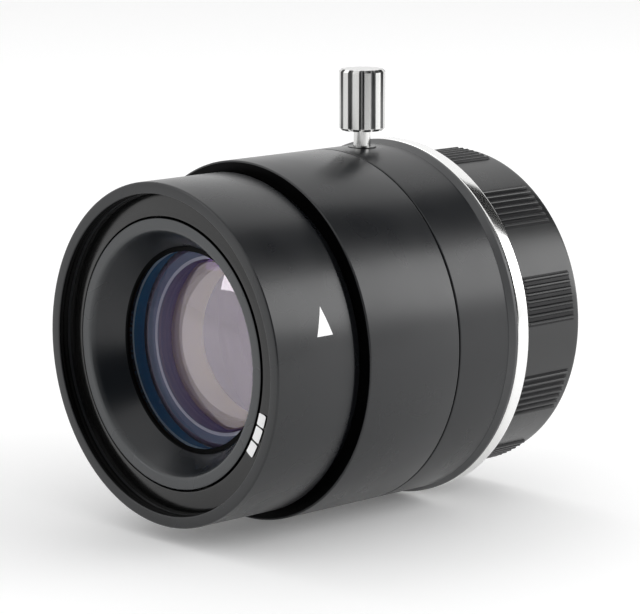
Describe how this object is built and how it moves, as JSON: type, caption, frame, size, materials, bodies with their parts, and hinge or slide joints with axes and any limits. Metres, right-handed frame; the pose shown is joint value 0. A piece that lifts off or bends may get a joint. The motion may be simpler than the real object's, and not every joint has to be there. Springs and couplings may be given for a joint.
{
  "type": "cctv camera lens",
  "caption": "Short black camera lens with a turning focus ring, an iris ring with a fluted lock screw, a bright mount flange and a ribbed rear cap.",
  "frame": {"origin": "centre of the mount seat, the rear face of the bright flange, on the optical axis", "axes": "+Y along the optical axis to the rear, into the camera; the front glass looks along -Y; +Z through the lock screw"},
  "size_m": [0.0332, 0.038, 0.04],
  "materials": {
    "black_anodised": "satin black anodised",
    "inner_black": "matt black",
    "blade_black": "matt black",
    "black_plastic": "moulded, fine grain",
    "bright_nickel": "bright plated",
    "steel": "turned",
    "brass": "turned",
    "nylon": "smooth",
    "coated_glass": "polished, coated",
    "inner_glass": "polished, coated"
  },
  "bodies": {
    "barrel": {"main_barrel": "black_anodised", "mount_flange": "bright_nickel", "guide_pins": "steel"},
    "lens_cell": {"lens_cell": "inner_black", "front_retaining_ring": "inner_black", "front_glass": "coated_glass", "front_spacer": "inner_black", "second_glass": "inner_glass", "middle_spacer": "inner_black", "third_glass": "inner_glass", "rear_lens_mount": "inner_black", "fourth_glass": "inner_glass", "rear_spacer": "inner_black", "fifth_glass": "coated_glass", "rear_retaining_ring": "inner_black"},
    "focus_ring": {"focus_ring": "black_anodised", "thrust_ring": "brass"},
    "iris_ring": {"iris_ring": "black_anodised", "drive_screw": "steel", "lock_washer": "black_plastic"},
    "lock_pad": {"lock_pad": "nylon"},
    "lock_screw": {"lock_screw": "bright_nickel"},
    "iris_cam_ring": {"iris_cam_ring": "inner_black"},
    "rear_cap": {"rear_cap": "black_plastic"},
    "iris_blade_1": {"iris_blade_1": "blade_black"},
    "iris_blade_2": {"iris_blade_2": "blade_black"},
    "iris_blade_3": {"iris_blade_3": "blade_black"},
    "iris_blade_4": {"iris_blade_4": "blade_black"},
    "iris_blade_5": {"iris_blade_5": "blade_black"},
    "iris_blade_6": {"iris_blade_6": "blade_black"}
  },
  "joints": [
    {"name": "focus_feed", "type": "slide", "parent": "barrel", "child": "lens_cell", "axis": [0, -1, 0], "range_m": [-0.00063, 0.00096]},
    {"name": "focus_turn", "type": "hinge", "parent": "lens_cell", "child": "focus_ring", "pos_m": [0, -0.02, 0], "axis": [0, -1, 0], "range_deg": [-95, 145]},
    {"name": "iris_turn", "type": "hinge", "parent": "barrel", "child": "iris_ring", "pos_m": [0, -0.005, 0], "axis": [0, 1, 0], "range_deg": [0, 48]},
    {"name": "iris_cam_turn", "type": "hinge", "parent": "lens_cell", "child": "iris_cam_ring", "pos_m": [0, -0.0105, 0], "axis": [0, 1, 0], "range_deg": [0, 48]},
    {"name": "lock_feed", "type": "slide", "parent": "iris_ring", "child": "lock_pad", "axis": [0, 0, 1], "range_m": [0, 0.00104]},
    {"name": "lock_turn", "type": "hinge", "parent": "lock_pad", "child": "lock_screw", "pos_m": [0, -0.00495, 0.017], "axis": [0, 0, 1], "range_deg": [0, 1080]},
    {"name": "cap_off", "type": "slide", "parent": "barrel", "child": "rear_cap", "axis": [0, 1, 0], "range_m": [0, 0.02]},
    {"name": "iris_blade_1_turn", "type": "hinge", "parent": "lens_cell", "child": "iris_blade_1", "pos_m": [0.00515, -0.0117, 0.00892], "axis": [0, 1, 0], "range_deg": [0, 26]},
    {"name": "iris_blade_2_turn", "type": "hinge", "parent": "lens_cell", "child": "iris_blade_2", "pos_m": [0.0103, -0.0117, 0], "axis": [0, 1, 0], "range_deg": [0, 26]},
    {"name": "iris_blade_3_turn", "type": "hinge", "parent": "lens_cell", "child": "iris_blade_3", "pos_m": [0.00515, -0.0117, -0.00892], "axis": [0, 1, 0], "range_deg": [0, 26]},
    {"name": "iris_blade_4_turn", "type": "hinge", "parent": "lens_cell", "child": "iris_blade_4", "pos_m": [-0.00515, -0.0117, -0.00892], "axis": [0, 1, 0], "range_deg": [0, 26]},
    {"name": "iris_blade_5_turn", "type": "hinge", "parent": "lens_cell", "child": "iris_blade_5", "pos_m": [-0.0103, -0.0117, 0], "axis": [0, 1, 0], "range_deg": [0, 26]},
    {"name": "iris_blade_6_turn", "type": "hinge", "parent": "lens_cell", "child": "iris_blade_6", "pos_m": [-0.00515, -0.0117, 0.00892], "axis": [0, 1, 0], "range_deg": [0, 26]}
  ],
  "couplings": [
    {"joint": "focus_turn", "follows": "focus_feed", "rad_per_m": 2618},
    {"joint": "iris_cam_turn", "follows": "iris_turn", "ratio": 1},
    {"joint": "lock_turn", "follows": "lock_feed", "rad_per_m": 17952},
    {"joint": "iris_blade_1_turn", "follows": "iris_turn", "ratio": 0.54},
    {"joint": "iris_blade_2_turn", "follows": "iris_turn", "ratio": 0.54},
    {"joint": "iris_blade_3_turn", "follows": "iris_turn", "ratio": 0.54},
    {"joint": "iris_blade_4_turn", "follows": "iris_turn", "ratio": 0.54},
    {"joint": "iris_blade_5_turn", "follows": "iris_turn", "ratio": 0.54},
    {"joint": "iris_blade_6_turn", "follows": "iris_turn", "ratio": 0.54}
  ]
}
